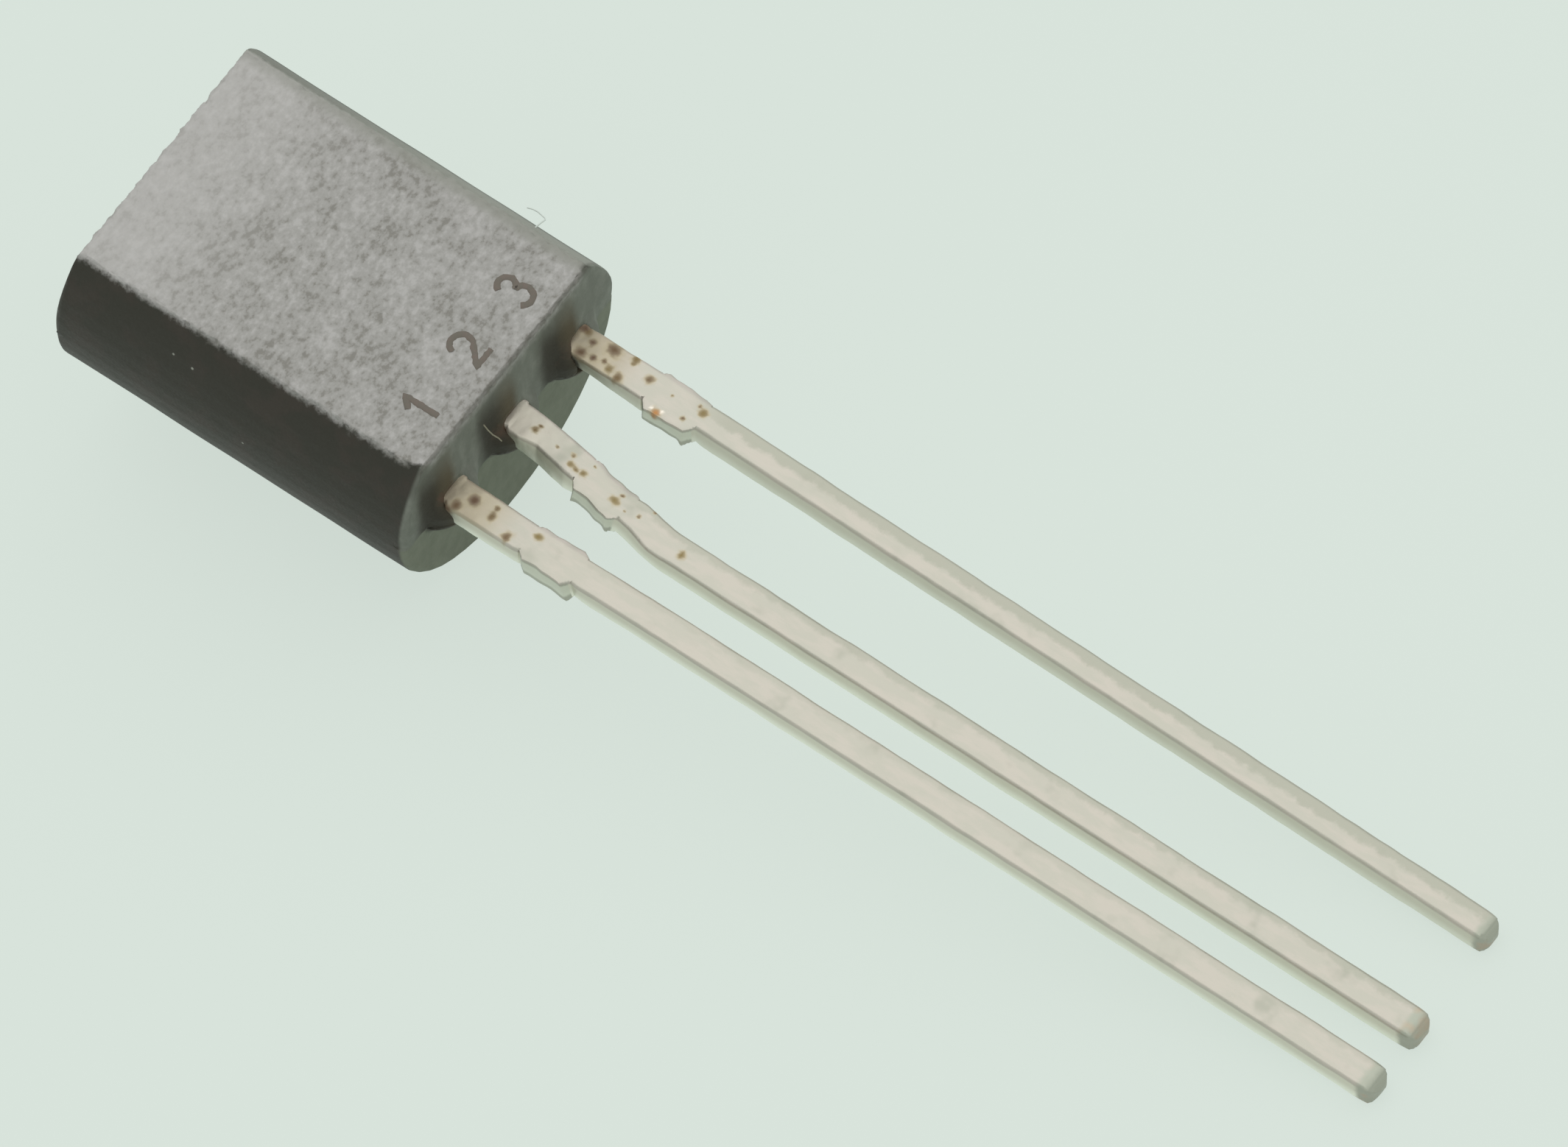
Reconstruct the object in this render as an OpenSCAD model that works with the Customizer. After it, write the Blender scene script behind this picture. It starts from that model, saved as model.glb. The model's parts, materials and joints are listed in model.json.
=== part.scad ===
// Small three-lead transistor in a D-shaped moulded body.
// It lies as it comes to rest: flat face up, on the foot of its lead end and on the tips of
// its leads. The pieces are first laid out in the frame of the leads, where X runs out along
// the leads from the lead end of the flat face, Z = 0 is the middle of the lead thickness and
// the flat face looks up, and are then turned and lifted together.

/* [Body] */
// Length of the flat face, along the leads
body_length = 5.18; // [4.9:0.02:5.6]
// Diameter of the round back
body_diameter = 4.4; // [4.3:0.01:4.9]
// Height of the flat face above the middle of the leads
flat_height = 1.225; // [1.1:0.005:1.4]
// Height of the middle of the leads above the centre of the round back
lead_rise = 0.147; // [0.05:0.001:0.25]
// Slope of both ends of the flat half, in degrees, so that it leaves the mould
end_draft = 4; // [1:0.5:6]
// How far each end of the back half stands out past the flat face
back_reach = 0.05; // [0:0.01:0.08]
// Radius of the rim round both ends
end_round = 0.12; // [0.06:0.01:0.2]
// Radius of the edges of the flat face
flat_round = 0.06; // [0.03:0.01:0.1]

/* [Lead domes] */
// Diameter of the dome that is moulded round the root of each lead
dome_diameter = 1; // [0.8:0.02:1.1]
// Height of the flat half of a dome over the end of the back half
dome_flat_side = 0.15; // [0.1:0.01:0.25]
// Height of the back half of a dome over the end of the back half
dome_back_side = 0.32; // [0.2:0.01:0.4]
// How far the centre of a dome lies below the middle of its lead
dome_drop = 0.1; // [0:0.01:0.2]

/* [Leads] */
// Distance between neighbouring leads where they leave the body
lead_pitch = 1.27; // [1.15:0.01:1.35]
// Width of a lead past the dambar
lead_width = 0.42; // [0.38:0.01:0.5]
// Width of a lead between the body and the dambar
root_width = 0.46; // [0.42:0.01:0.55]
// Thickness of the sheet that the leads are stamped from
lead_thickness = 0.4; // [0.34:0.01:0.45]
// Reach of the longest lead past the flat face
lead_reach = 13.97; // [12.7:0.01:14.5]
// How much sooner the emitter lead is cut off
emitter_short = 0.06; // [0:0.01:0.5]
// Radius that the tin gives to the edges of a lead
lead_round = 0.05; // [0.02:0.01:0.08]
// Radius of the corners at the cut tips
tip_round = 0.15; // [0.06:0.01:0.17]

/* [Dambar] */
// Distance from the flat face to the stubs of the sheared dambar
dambar_start = 1.27; // [1.2:0.01:1.5]
// Length of the stubs along the lead
dambar_length = 0.77; // [0.5:0.01:0.9]
// How far a stub stands out on the emitter's side of its lead
stub_near = 0.05; // [0.02:0.01:0.08]
// How far a stub stands out on the collector's side of its lead
stub_far = 0.12; // [0.05:0.01:0.15]
// Length of the slope at both ends of a stub
stub_slope = 0.1; // [0.05:0.01:0.15]

/* [Lead bends] */
// Sideways step of the base lead towards the collector lead
jog_step = 0.38; // [0.2:0.01:0.45]
// Angle of the base lead within its step, in degrees
jog_angle = 9.5; // [8:0.5:12]
// Radius of every bend, to the middle of the lead
bend_radius = 3; // [2:0.1:4]
// Distance from the flat face to the start of the step
jog_start = 0.15; // [0:0.05:0.3]
// Turn of the emitter lead towards the others past its stubs, in degrees
emitter_lean = 0.69; // [0.1:0.01:1]
// Turn of the base lead towards the collector lead past its step, in degrees
base_lean = 0.2; // [0.1:0.01:1]
// Turn of the collector lead away from the others past its stubs, in degrees
collector_lean = 0.12; // [0.1:0.01:1]

/* [Inside] */
// Distance from the flat face's lead end to the chip pad
pad_setback = 2.1; // [2:0.05:2.3]
// Length of the chip pad, along the leads
pad_length = 1.7; // [1.3:0.05:1.9]
// Width of the chip pad, across the leads
pad_width = 1.5; // [1.2:0.05:1.6]
// Width of the shoulder between the pad and its lead
shoulder_width = 0.7; // [0.5:0.05:1]
// Length of the widened bonding end of the base and emitter leads
post_length = 0.65; // [0.5:0.05:0.7]
// How much wider the bonding ends are than their leads
post_widening = 0.26; // [0.1:0.02:0.3]
// Distance from the flat face's lead end to the far edge of the base lead's bonding end
base_post_depth = 1.65; // [1.5:0.05:1.75]
// Distance from the flat face's lead end to the far edge of the emitter lead's bonding end
emitter_post_depth = 2.9; // [2.6:0.05:3.4]
// Radius of the notches that lock each lead in the moulding
notch_radius = 0.09; // [0.05:0.01:0.12]
// Distance from the flat face's lead end to the notches
notch_depth = 0.6; // [0.4:0.05:0.8]
// Side of the square silicon chip
chip_side = 0.76; // [0.5:0.02:0.9]
// Thickness of the silicon chip
chip_thickness = 0.2; // [0.15:0.01:0.25]
// Thickness of the solder under the chip
solder_thickness = 0.02; // [0.01:0.005:0.04]
// How far the solder stands out round the chip
solder_margin = 0.05; // [0.02:0.01:0.08]

/* [Bond wires] */
// Diameter of the bond wires
wire_diameter = 0.04; // [0.03:0.005:0.05]
// How much thinner, in percent, a wire is where it is drawn out to its lead
wire_drawing = 3; // [2:0.5:6]
// Diameter of the ball that joins a wire to the chip
ball_diameter = 0.1; // [0.08:0.01:0.12]
// Height of the ball
ball_height = 0.03; // [0.02:0.005:0.05]
// Radius of the bend at the top of a wire's loop
loop_radius = 0.12; // [0.08:0.01:0.16]
// Slope of a wire down to its lead, in degrees
loop_slope = 24; // [20:1:30]
// Length of the flattened end of a wire on its lead
foot_length = 0.12; // [0.1:0.01:0.16]
// Thickness of the flattened end
foot_thickness = 0.015; // [0.01:0.005:0.02]
// Offset of both balls from the middle of the chip, towards their leads
ball_offset = 0.16; // [0.1:0.01:0.2]

/* [Hidden] */
$fn = 48;

margin = 1;                                  // spare length of every cutting shape
body_radius = body_diameter / 2;
mould_line = -lead_thickness / 2;            // the mould's halves meet at the leads' underside
flat_half = flat_height - mould_line;
end_bulge = flat_half * tan(end_draft);      // reach of the flat half past the flat face
back_depth = body_radius + lead_rise;        // from the middle of the leads to the back
root_overlap = 0.2;                          // how far a lead's rounded root runs into the body

// Rest: the leads' underside and the foot of the lead end touch the same plane. Both contacts
// are rounded, so the plane touches two circles: one at the body's rim, one at the lead tips.
foot_circle = [back_reach - end_round, end_round - back_depth];
tip_circle = [lead_reach - tip_round, tip_round - lead_thickness / 2];
heel_circle = [-body_length - back_reach + end_round, end_round - back_depth];
tip_run = tip_circle - foot_circle;
rest_tilt = atan2(tip_run[1], tip_run[0]) + asin((end_round - tip_round) / norm(tip_run));

function turned_x(p) = p[0] * cos(rest_tilt) + p[1] * sin(rest_tilt);
function turned_z(p) = p[1] * cos(rest_tilt) - p[0] * sin(rest_tilt);

rest_lift = end_round - turned_z(foot_circle);
rear_x = turned_x(heel_circle) - end_round;
front_x = turned_x([lead_reach - tip_round, lead_thickness / 2 - tip_round]) + tip_round;
rest_shift = -(rear_x + front_x) / 2;

// Chip stack, from the pad up
pad_top = lead_thickness / 2;
chip_bottom = pad_top + solder_thickness;
chip_top = chip_bottom + chip_thickness;
chip_x = -pad_setback - pad_length / 2;

// Bonding ends
post_width = root_width + post_widening;
base_post = [post_length / 2 - base_post_depth, 0];
emitter_post = [post_length / 2 - emitter_post_depth, lead_pitch];
base_ball = [chip_x + ball_offset, 0];
emitter_ball = [chip_x, ball_offset];
drawn_diameter = wire_diameter * (1 - wire_drawing / 100);
drawn_lap = wire_diameter / 8;               // how far the drawn stretch runs up into its loop

// Turns and lifts everything from the frame of the leads to where it comes to rest.
module at_rest() {
    translate([rest_shift, 0, rest_lift]) rotate([0, rest_tilt, 0]) children();
}

module along_x() { rotate([90, 0, 90]) children(); }   // sketch XY becomes YZ, height runs on X
module along_y() { rotate([90, 0, 0]) children(); }    // sketch XY becomes XZ, height runs on -Y

// ---- Moulded body ----

// Round bar along X, between two ends with rounded rims, about the centre of the round back
module round_bar(x_from, x_to) {
    length = x_to - x_from;
    inner = body_radius - end_round;
    translate([x_from, 0, -lead_rise]) rotate([0, 90, 0]) rotate_extrude($fn = 96) {
        square([inner, length]);
        translate([0, end_round]) square([body_radius, length - 2 * end_round]);
        for (y = [end_round, length - end_round]) translate([inner, y]) circle(end_round);
    }
}

// D-shaped section with its two corners rounded. Each corner's circle touches the flat and the
// back from inside, so its centre lies on the spoke through the point where it meets the back.
module flat_section() {
    corner_z = flat_height - flat_round;
    corner_y = sqrt(pow(body_radius - flat_round, 2) - pow(corner_z + lead_rise, 2));
    spoke = [corner_y, corner_z + lead_rise] * 2;
    translate([0, -lead_rise]) intersection() {
        circle(body_radius, $fn = 96);
        polygon([[0, 0], spoke, [spoke[0], -spoke[1]], [-spoke[0], -spoke[1]], [-spoke[0], spoke[1]]]);
    }
    translate([-corner_y, mould_line]) square([2 * corner_y, flat_half]);
    for (side = [-1, 1]) translate([side * corner_y, corner_z]) circle(flat_round);
}

// Side view of the flat half: both ends slope in to the flat face, with rounded corners.
module flat_profile() {
    slant = norm([flat_half, end_bulge]);
    inset = flat_round * (slant - end_bulge) / flat_half;
    corner_z = flat_height - flat_round;
    touch = [flat_round * flat_half / slant - inset, corner_z + flat_round * end_bulge / slant];
    front = [[end_bulge, mould_line], touch, [-inset, flat_height]];
    rear = [for (i = [2:-1:0]) [-body_length - front[i][0], front[i][1]]];
    polygon(concat(front, rear));
    for (x = [-inset, inset - body_length]) translate([x, corner_z]) circle(flat_round);
}

module flat_half_block() {
    span = body_diameter + 2 * margin;
    intersection() {
        round_bar(-body_length - end_bulge, end_bulge);
        translate([-body_length - margin, 0, 0]) along_x()
            linear_extrude(body_length + 2 * margin) flat_section();
        translate([0, span / 2, 0]) along_y() linear_extrude(span) flat_profile();
    }
}

module back_half_block() {
    depth = body_diameter + margin;
    intersection() {
        round_bar(-body_length - back_reach, back_reach);
        translate([-body_length - margin, -depth, mould_line - depth])
            cube([body_length + 2 * margin, 2 * depth, depth]);
    }
}

// Cap of a ball: as wide as the dome at the end of the back half, and as high as asked there
module dome_cap(height) {
    radius = dome_diameter / 2;
    ball = (pow(radius, 2) + pow(height, 2)) / (2 * height);
    sink = end_round + back_reach;
    translate([back_reach, 0, -dome_drop]) rotate([0, 90, 0]) rotate_extrude($fn = 96) {
        translate([0, -sink]) square([radius, sink]);
        intersection() {
            translate([0, height - ball]) circle(ball, $fn = 96);
            square([radius, height]);
        }
    }
}

module lead_dome() {
    size = dome_diameter + margin;
    intersection() {
        dome_cap(dome_flat_side);
        translate([-size / 2, -size / 2, mould_line]) cube(size);
    }
    intersection() {
        dome_cap(dome_back_side);
        translate([-size / 2, -size / 2, mould_line - size]) cube(size);
    }
}

module moulding() {
    flat_half_block();
    back_half_block();
    for (i = [-1:1]) translate([0, i * lead_pitch, 0]) lead_dome();
}

// ---- Leads ----

module rounded_rectangle(width, height, radius) {
    square([width - 2 * radius, height], center = true);
    square([width, height - 2 * radius], center = true);
    for (x = [-1, 1], y = [-1, 1])
        translate([x * (width / 2 - radius), y * (height / 2 - radius)]) circle(radius, $fn = 24);
}

module lead_section(width) { rounded_rectangle(width, lead_thickness, lead_round); }

module lead_bar(width, length) { along_x() linear_extrude(length) lead_section(width); }

module lead_root(length) {
    translate([-root_overlap, 0, 0]) lead_bar(root_width, root_overlap + length);
}

// Last stretch of a lead, with its cut corners rounded in plan and from the side
module tip_bar(length) {
    intersection() {
        lead_bar(lead_width, length);
        translate([0, 0, -margin / 2]) linear_extrude(margin) bullet(lead_width, length);
        translate([0, margin / 2, 0]) along_y() linear_extrude(margin) bullet(lead_thickness, length);
    }
}

module bullet(width, length) {
    translate([0, -width / 2]) square([length - tip_round, width]);
    translate([0, tip_round - width / 2]) square([length, width - 2 * tip_round]);
    for (side = [-1, 1])
        translate([length - tip_round, side * (width / 2 - tip_round)]) circle(tip_round, $fn = 24);
}

// Bends the lead sideways by an angle, to the collector's side where it is negative, and
// draws what follows from the end of the bend.
module lead_bend(width, angle) {
    side = sign(angle);
    turn = abs(angle);
    end_x = bend_radius * sin(turn);
    end_y = side * bend_radius * (1 - cos(turn));
    mirror([0, side > 0 ? 0 : 1, 0]) translate([0, bend_radius, 0]) rotate([0, 0, -90])
        rotate_extrude(angle = turn, $fn = 360) translate([bend_radius, 0]) lead_section(width);
    translate([end_x, end_y, 0]) rotate([0, 0, angle]) children();
}

// What the punch left of the dambar on both sides of a lead
module dambar_stubs() {
    half = lead_width / 2;
    for (stub = [[1, stub_near], [-1, stub_far]]) {
        outer = stub[0] * (half + stub[1]);
        translate([0, 0, -lead_thickness / 2]) linear_extrude(lead_thickness)
            polygon([[0, 0], [0, stub[0] * half], [stub_slope, outer],
                     [dambar_length - stub_slope, outer], [dambar_length, stub[0] * half],
                     [dambar_length, 0]]);
    }
}

// Straight lead out of the body: root, stubs, then a slight turn and the long stretch
module outer_lead(lean, reach) {
    root = dambar_start + dambar_length;
    rest = (reach - root - bend_radius * sin(abs(lean))) / cos(lean);
    lead_root(dambar_start);
    translate([dambar_start, 0, 0]) { lead_bar(lead_width, dambar_length); dambar_stubs(); }
    translate([root, 0, 0]) lead_bend(lead_width, lean) tip_bar(rest);
}

// Base lead: it steps sideways, and its stubs sit on the slanted stretch
module base_outer_lead() {
    bend_x = bend_radius * sin(jog_angle);
    bend_y = bend_radius * (1 - cos(jog_angle));
    slanted = (jog_step - 2 * bend_y) / sin(jog_angle);
    stub_at = (dambar_start - jog_start - bend_x) / cos(jog_angle);
    step_end = jog_start + 2 * bend_x + slanted * cos(jog_angle);
    lean_x = bend_radius * sin(base_lean);
    rest = (lead_reach - step_end + lean_x) / cos(base_lean);
    lead_root(jog_start);
    translate([jog_start, 0, 0]) lead_bend(root_width, -jog_angle) {
        lead_bar(root_width, stub_at);
        translate([stub_at, 0, 0]) dambar_stubs();
        translate([stub_at, 0, 0]) lead_bar(lead_width, slanted - stub_at);
        translate([slanted, 0, 0]) lead_bend(lead_width, jog_angle - base_lean) tip_bar(rest);
    }
}

// Outline of a lead inside the body: a straight stretch with a pair of locking notches
module inner_strip(depth) {
    difference() {
        translate([-depth, -root_width / 2]) square([depth, root_width]);
        for (side = [-1, 1]) translate([-notch_depth, side * root_width / 2]) circle(notch_radius);
    }
}

module inner_post(depth) {
    inner_strip(depth);
    translate([-depth, -post_width / 2]) square([post_length, post_width]);
}

module inner_pad() {
    shoulder_depth = pad_setback + shoulder_width;
    inner_strip(shoulder_depth);
    translate([-shoulder_depth, -root_width / 2])
        square([shoulder_width, lead_pitch - pad_width / 2 + root_width / 2]);
    translate([-pad_setback - pad_length, lead_pitch - pad_width / 2]) square([pad_length, pad_width]);
}

module sheet() { translate([0, 0, -lead_thickness / 2]) linear_extrude(lead_thickness) children(); }

module collector_shape() {
    translate([0, -lead_pitch, 0]) { sheet() inner_pad(); outer_lead(-collector_lean, lead_reach); }
}

module base_shape() {
    sheet() inner_post(base_post_depth);
    base_outer_lead();
}

module emitter_shape() {
    translate([0, lead_pitch, 0]) {
        sheet() inner_post(emitter_post_depth);
        outer_lead(-emitter_lean, lead_reach - emitter_short);
    }
}

// ---- Chip and wires ----

module chip_shape() {
    translate([chip_x - chip_side / 2, -chip_side / 2, chip_bottom])
        cube([chip_side, chip_side, chip_thickness]);
}

module solder_shape() {
    side = chip_side + 2 * solder_margin;
    translate([chip_x - side / 2, -side / 2, pad_top]) cube([side, side, solder_thickness]);
}

// Wire from a ball on the chip to a flattened foot on a lead: a neck straight up, a bend over
// the top, and a straight fall, drawn a touch thinner, that meets the lead at the foot
module bond_wire(ball, post) {
    run = post - ball;
    reach = norm(run);
    bend_end = loop_radius * (1 + sin(loop_slope));
    fall = (reach - bend_end) / cos(loop_slope);
    neck_top = pad_top + fall * sin(loop_slope) - loop_radius * cos(loop_slope);
    translate([ball[0], ball[1], 0]) rotate([0, 0, atan2(run[1], run[0])]) {
        translate([0, 0, chip_top]) cylinder(d = ball_diameter, h = ball_height);
        translate([0, 0, chip_top]) cylinder(d = wire_diameter, h = neck_top - chip_top);
        translate([loop_radius, 0, neck_top]) along_y() mirror([1, 0, 0])
            rotate_extrude(angle = 90 + loop_slope) translate([loop_radius, 0]) circle(d = wire_diameter);
        difference() {
            translate([reach, 0, pad_top]) rotate([0, loop_slope - 90, 0]) translate([0, 0, -wire_diameter])
                cylinder(d = drawn_diameter, h = wire_diameter + fall + drawn_lap);
            translate([reach - margin, -margin, pad_top - margin]) cube([2 * margin, 2 * margin, margin]);
        }
        translate([reach, 0, pad_top]) linear_extrude(foot_thickness)
            rounded_rectangle(foot_length, 1.5 * wire_diameter, wire_diameter / 4);
    }
}

module base_wire_shape() { bond_wire(base_ball, base_post); }
module emitter_wire_shape() { bond_wire(emitter_ball, emitter_post); }

// ---- Nodes ----

// The compound fills everything round the pieces that it was moulded over.
module moulded_body() {
    color([0.36, 0.36, 0.33]) at_rest() difference() {
        moulding();
        collector_shape();
        base_shape();
        emitter_shape();
        chip_shape();
        solder_shape();
        base_wire_shape();
        emitter_wire_shape();
    }
}

module collector_lead() { color([0.82, 0.8, 0.75]) at_rest() collector_shape(); }
module base_lead() { color([0.82, 0.8, 0.75]) at_rest() base_shape(); }
module emitter_lead() { color([0.82, 0.8, 0.75]) at_rest() emitter_shape(); }
module silicon_chip() { color([0.3, 0.31, 0.36]) at_rest() chip_shape(); }
module chip_solder() { color([0.62, 0.62, 0.64]) at_rest() solder_shape(); }
module base_bond_wire() { color([0.95, 0.77, 0.35]) at_rest() base_wire_shape(); }
module emitter_bond_wire() { color([0.95, 0.77, 0.35]) at_rest() emitter_wire_shape(); }

moulded_body();
collector_lead();
base_lead();
emitter_lead();
silicon_chip();
chip_solder();
base_bond_wire();
emitter_bond_wire();
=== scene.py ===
import json
import math

import bmesh
import bpy
from mathutils import Matrix, Vector, noise

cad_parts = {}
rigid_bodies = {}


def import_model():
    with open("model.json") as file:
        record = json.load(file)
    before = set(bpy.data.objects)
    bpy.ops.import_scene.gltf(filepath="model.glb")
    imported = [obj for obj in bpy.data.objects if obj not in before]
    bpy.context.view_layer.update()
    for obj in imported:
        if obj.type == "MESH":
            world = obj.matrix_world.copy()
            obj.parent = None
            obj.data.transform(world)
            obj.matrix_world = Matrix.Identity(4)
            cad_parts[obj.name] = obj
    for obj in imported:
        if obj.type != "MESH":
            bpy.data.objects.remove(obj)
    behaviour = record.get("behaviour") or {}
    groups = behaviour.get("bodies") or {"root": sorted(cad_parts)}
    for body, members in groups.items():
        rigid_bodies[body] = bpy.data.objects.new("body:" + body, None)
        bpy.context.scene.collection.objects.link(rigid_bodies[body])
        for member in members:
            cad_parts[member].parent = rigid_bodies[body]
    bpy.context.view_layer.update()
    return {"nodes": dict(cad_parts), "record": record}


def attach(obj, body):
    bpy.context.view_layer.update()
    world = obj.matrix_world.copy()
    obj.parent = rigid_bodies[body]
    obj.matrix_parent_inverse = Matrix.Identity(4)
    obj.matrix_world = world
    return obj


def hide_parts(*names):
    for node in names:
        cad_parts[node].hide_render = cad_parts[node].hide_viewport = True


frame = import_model()
scene = bpy.context.scene
mm = 0.001

# Pieces are worked on in the frame of the leads, in millimetres: x runs out along the leads from
# the lead end of the flat face, z = 0 is the middle of the lead thickness, the flat looks up.
package = {
    "bodyLength": 5.18,
    "flatHeight": 1.225, "flatHalfWidth": 1.69,
    "backRadius": 2.2, "backCentre": -0.147,
    "mouldLine": -0.2,
    "leadPitch": 1.27, "leadReach": 13.97,
}
flatMount = next(m for m in frame["record"]["mounts"] if m["name"] == "flat_face")
upward = Vector(flatMount["axis"]).normalized()
across = Vector((0, 1, 0))
along = across.cross(upward)
leadTurn = Matrix((along, across, upward)).transposed()
flatCentre = along * package["bodyLength"] / 2 - upward * package["flatHeight"]
leadOrigin = Vector(flatMount["pos_m"]) + flatCentre * mm
leadFrame = Matrix.LocRotScale(leadOrigin, leadTurn, Vector((mm, mm, mm)))
print("frame of the leads turned by", round(math.degrees(math.atan2(upward.x, upward.z)), 2), "degrees")


def tone(red, green, blue):
    # a colour given in 0 to 255, as a material wants it
    linear = [((c / 255 + 0.055) / 1.055) ** 2.4 if c > 10 else c / 3295 for c in (red, green, blue)]
    return (*linear, 1)


def newMaterial(name):
    material = bpy.data.materials.new(name)
    material.use_nodes = True
    return material, material.node_tree, material.node_tree.nodes["Principled BSDF"]


def addNode(tree, kind, inputs=(), **settings):
    made = tree.nodes.new("ShaderNode" + kind)
    for setting, value in settings.items():
        setattr(made, setting, value)
    for socket, value in dict(inputs).items():
        plug(made.inputs[socket], value)
    return made


def plug(socket, value):
    if isinstance(value, bpy.types.NodeSocket):
        socket.id_data.links.new(value, socket)
    else:
        socket.default_value = value


def joined(kind, inputs, **settings):
    # a node in the tree that its inputs come from
    tree = next(v.id_data for v in inputs.values() if isinstance(v, bpy.types.NodeSocket))
    return addNode(tree, kind, inputs, **settings)


def maths(operation, first, second=0.0):
    return joined("Math", {0: first, 1: second}, operation=operation).outputs[0]


def plus(first, second):
    return maths("ADD", first, second)


def minus(first, second):
    return maths("SUBTRACT", first, second)


def times(product, *factors):
    for factor in factors:
        product = maths("MULTIPLY", product, factor)
    return product


def swing(value, amount):
    # a grain that runs from 0 to 1, as a shift to either side
    return times(minus(value, 0.5), amount)


def rise(value, limit, by=0.0):
    # 0 at the limit's first end, 1 at its second, smooth between; both ends can be moved
    settings = {"Value": value, "From Min": limit[0] + by, "From Max": limit[1] + by}
    return joined("MapRange", settings, interpolation_type="SMOOTHSTEP").outputs[0]


def allOf(*limits):
    # 1 only past every limit, each given as rise takes it
    return times(*[rise(*limit) for limit in limits])


def blend(amount, first, second):
    return joined("Mix", {0: amount, 6: first, 7: second}, data_type="RGBA").outputs[2]


def grain(coords, scale, detail, roughness=0.5):
    settings = {"Vector": coords, "Scale": scale, "Detail": detail, "Roughness": roughness}
    return joined("TexNoise", settings).outputs[0]


def stretched(coords, factors):
    return joined("VectorMath", {0: coords, 1: factors}, operation="MULTIPLY").outputs[0]


def lengthOf(first, second):
    both = joined("CombineXYZ", {0: first, 1: second}).outputs[0]
    return joined("VectorMath", {0: both}, operation="LENGTH").outputs["Value"]


def dress(shader, colour, roughness, metallic=0.0):
    looks = {"Base Color": colour, "Roughness": roughness, "Metallic": metallic}
    for socket, value in looks.items():
        plug(shader.inputs[socket], value)


def bumped(shader, strength, depth, height):
    bump = joined("Bump", {"Strength": strength, "Distance": depth * mm, "Height": height})
    plug(shader.inputs["Normal"], bump.outputs[0])


def leadCoords(tree):
    # Object coordinates turned into the frame of the leads, in millimetres
    place = leadFrame.inverted()
    source = addNode(tree, "TexCoord").outputs["Object"]
    settings = {"Vector": source, "Location": place.to_translation(), "Rotation": place.to_euler()}
    coords = joined("Mapping", {**settings, "Scale": (1 / mm,) * 3}).outputs[0]
    parts = joined("SeparateXYZ", {0: coords})
    return coords, parts.outputs[0], parts.outputs[1], parts.outputs[2]


def rootDistance(y, z, drop):
    # distance from the nearest lead's axis, or from a line that much below it
    sideways = maths("PINGPONG", y, package["leadPitch"] / 2)
    return lengthOf(sideways, plus(z, drop))


# The moulding compound. A grain has a scale, a detail and a roughness. A limit has two ends, in
# millimetres or in shares of a grain: nothing at the first, all at the second.
resin = {
    # the flat's pale tones are partly a painted sheen of the lamp, the far one a painted sheen gradient
    "flatDark": tone(132, 130, 123), "flatMid": tone(160, 159, 154),
    "flatLight": tone(178, 177, 173), "flatFarSheen": tone(192, 191, 187), "flatLine": tone(92, 90, 81),
    "flatRim": tone(146, 147, 138), "side": tone(46, 43, 34), "sideWarm": tone(53, 46, 38),
    "speck": tone(150, 152, 142), "endUpper": tone(110, 114, 104), "endPale": tone(128, 132, 122),
    "endLower": tone(112, 117, 101), "endLowerPale": tone(122, 127, 111),
    # painted shade of the domes, dark and browner on top, and their reddish stain
    "dome": tone(50, 46, 36), "domeTopShade": tone(84, 76, 58), "domeStain": tone(84, 66, 52),
    "crumbs": (11.5, 3, 0.6), "crumbStretch": (1.0, 0.66, 1.0),
    "crumbShare": 0.82,  # the rest is fines
    "fines": (30, 2, 0.5),
    "patches": (2.2, 3, 0.55), "patchShare": 0.5,
    "toMid": (0.32, 0.5),
    "toLight": (0.48, 0.7),
    # painted sheen gradient: the flat gets lighter far from the leads
    "farPart": (-2.8, -5.1), "farShare": 0.55,
    "warmPatch": (0.45, 0.65),
    "speckCells": 3.4, "speckRarity": 0.35, "speckReach": 0.16, "speckEdge": (0.0, 0.05),
    "runs": (4, 4, 0.6), "runStretch": (1.0, 1.2, 0.7),
    "paleRun": (0.4, 0.75), "paleRunLower": (0.3, 0.7),
    "lineWander": 0.15, "lineBand": (-0.04, 0.03),
    "betweenDomes": 0.32,  # beside a lead's axis, where one dome gives way to the next
    "domeWander": 0.12,
    "domeDrop": 0.1,  # how far the middle of a dome is below its lead's axis
    "domeBand": (-0.03, 0.03),
    # where the painted shade of the domes lies: their flanks, then their lower halves
    "flankStart": (-0.78, -0.5), "flankEnd": (0.16, -0.04), "flankSide": (1.66, 1.5),
    "flankTop": (1.35, 0.5),
    "underRound": (0.56, 0.47), "underStart": (-0.68, -0.6), "underEnd": (0.3, 0.1),
    "underSide": (1.9, 1.8),
    "domeTop": (-0.38, -0.08),
    "stains": (3.1, 3, 0.6), "stainEdge": (0.1, 0.35), "stainFoot": (0.0, 0.2),
    "leadEnd": (-0.9, -0.5),
    "domeShare": 0.97,
    "endFace": (-0.07, -0.01), "endRim": (-0.015, -0.05),
    "ragged": (9, 5, 0.7), "raggedDepth": 0.16,
    "skinDepth": (-0.25, 0.0),
    "cornerWear": 0.32, "cornerBand": (0.1, 0.03),
    "lineAt": 0.015, "lineRagged": 0.3, "lineWidth": (0.035, 0.012), "lineTop": (-0.12, -0.05),
    "lineShare": 0.55,
    "rimRagged": 0.5, "rimSide": (1.5, 1.7), "rimTop": (0.7, 1.0), "rimEnd": (0.0, -0.1),
    "rimAlong": (-5, -1.5),
    "rimGain": (1.3, 0.7),  # everywhere, and more towards the leads
    "rimShare": 0.45,
    "roughness": (0.45, 0.2, 0.15),  # everywhere, in the fines, on the ends
    "bumpPatches": 0.3, "bump": (0.45, 0.012),
    "specular": 0.42,
}


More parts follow.
